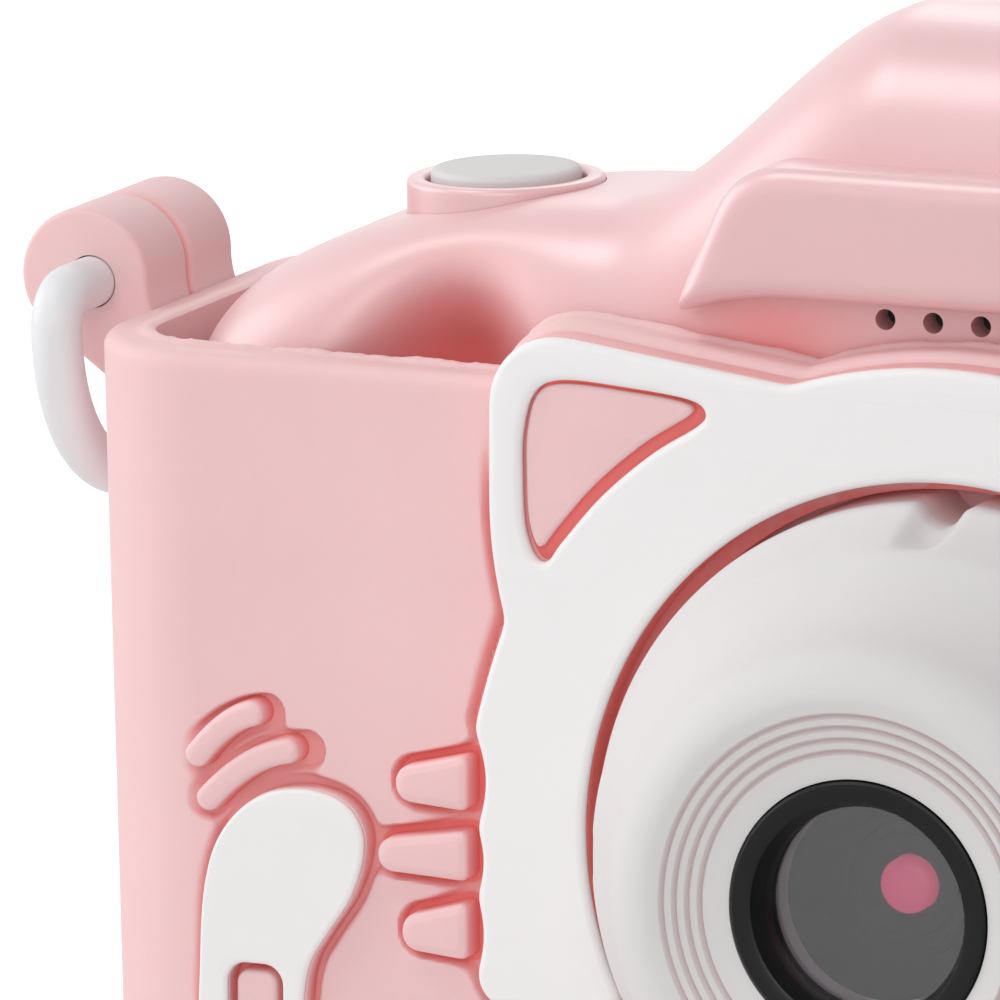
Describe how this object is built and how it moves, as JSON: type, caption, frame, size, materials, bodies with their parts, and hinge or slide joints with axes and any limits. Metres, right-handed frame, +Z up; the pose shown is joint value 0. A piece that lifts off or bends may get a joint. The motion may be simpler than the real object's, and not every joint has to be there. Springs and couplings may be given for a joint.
{
  "type": "toy camera",
  "caption": "Children's toy camera with a stepped lens barrel, shutter button, rear keys and screen, in a soft sleeve with a raised cat-ear band, tail and strap loops.",
  "frame": {"origin": "under the middle of the bounding box, on the surface that the camera stands on", "axes": "+Z up, -Y the way the lens looks, +X to the right for someone who faces the lens"},
  "size_m": [0.1258, 0.053, 0.079],
  "materials": {
    "sleeve_silicone": "matte, soft pink",
    "white_silicone": "matte, white",
    "loop_plastic": "soft white",
    "body_plastic": "satin pink",
    "white_plastic": "satin white",
    "black_plastic": "gloss black",
    "switch_plastic": "matte black",
    "lens_window": "clear grey",
    "coated_lens": "pink coating",
    "screen": "gloss black",
    "board": "green lacquer",
    "film": "amber film",
    "wire": "red sheath",
    "cell": "foil",
    "steel": "plain"
  },
  "bodies": {
    "camera": {"sleeve": "sleeve_silicone", "cat_band": "white_silicone", "tail": "white_silicone", "front_shell": "body_plastic", "rear_shell": "body_plastic", "brow_panel": "body_plastic", "shutter_collar": "body_plastic", "shutter_switch": "switch_plastic", "lens_barrel": "white_plastic", "lens_ring": "black_plastic", "lens_glass": "lens_window", "objective_lens": "coated_lens", "lens_holder": "switch_plastic", "sensor_board": "board", "sensor_ribbon": "film", "main_board": "board", "battery": "cell", "battery_lead": "wire", "speaker": "switch_plastic", "speaker_lead": "wire", "lcd_module": "steel", "screen_window": "screen", "key_switches": "switch_plastic", "usb_socket": "steel", "card_socket": "steel", "shell_screws": "steel"},
    "shutter_button": {"shutter_button": "white_plastic"},
    "port_flap": {"port_flap": "body_plastic"},
    "strap_loop_left": {"strap_loop_left": "loop_plastic"},
    "strap_loop_right": {"strap_loop_right": "loop_plastic"},
    "key_up": {"key_up": "white_plastic"},
    "key_down": {"key_down": "white_plastic"},
    "key_left": {"key_left": "white_plastic"},
    "key_right": {"key_right": "white_plastic"},
    "key_ok": {"key_ok": "white_plastic"},
    "key_power": {"key_power": "white_plastic"},
    "key_menu": {"key_menu": "white_plastic"}
  },
  "joints": [
    {"name": "shutter_press", "type": "slide", "parent": "camera", "child": "shutter_button", "axis": [0.0262, 0, -0.9997], "range_m": [0, 0.001], "stiffness_N_per_m": 1200},
    {"name": "flap_swing", "type": "hinge", "parent": "camera", "child": "port_flap", "pos_m": [0.0492, 0.0129, 0.023], "axis": [0, 0, -1], "range_deg": [0, 100]},
    {"name": "left_loop_swing", "type": "hinge", "parent": "camera", "child": "strap_loop_left", "pos_m": [-0.0584, 0.00775, 0.0596], "axis": [0, 1, 0], "range_deg": [-6, 160]},
    {"name": "right_loop_swing", "type": "hinge", "parent": "camera", "child": "strap_loop_right", "pos_m": [0.0584, 0.00775, 0.0596], "axis": [0, -1, 0], "range_deg": [-6, 160]},
    {"name": "key_up_press", "type": "slide", "parent": "camera", "child": "key_up", "axis": [0, -1, 0], "range_m": [0, 0.0005], "stiffness_N_per_m": 1500},
    {"name": "key_down_press", "type": "slide", "parent": "camera", "child": "key_down", "axis": [0, -1, 0], "range_m": [0, 0.0005], "stiffness_N_per_m": 1500},
    {"name": "key_left_press", "type": "slide", "parent": "camera", "child": "key_left", "axis": [0, -1, 0], "range_m": [0, 0.0005], "stiffness_N_per_m": 1500},
    {"name": "key_right_press", "type": "slide", "parent": "camera", "child": "key_right", "axis": [0, -1, 0], "range_m": [0, 0.0005], "stiffness_N_per_m": 1500},
    {"name": "key_ok_press", "type": "slide", "parent": "camera", "child": "key_ok", "axis": [0, -1, 0], "range_m": [0, 0.0005], "stiffness_N_per_m": 1500},
    {"name": "key_power_press", "type": "slide", "parent": "camera", "child": "key_power", "axis": [0, -1, 0], "range_m": [0, 0.0005], "stiffness_N_per_m": 1500},
    {"name": "key_menu_press", "type": "slide", "parent": "camera", "child": "key_menu", "axis": [0, -1, 0], "range_m": [0, 0.0005], "stiffness_N_per_m": 1500}
  ]
}
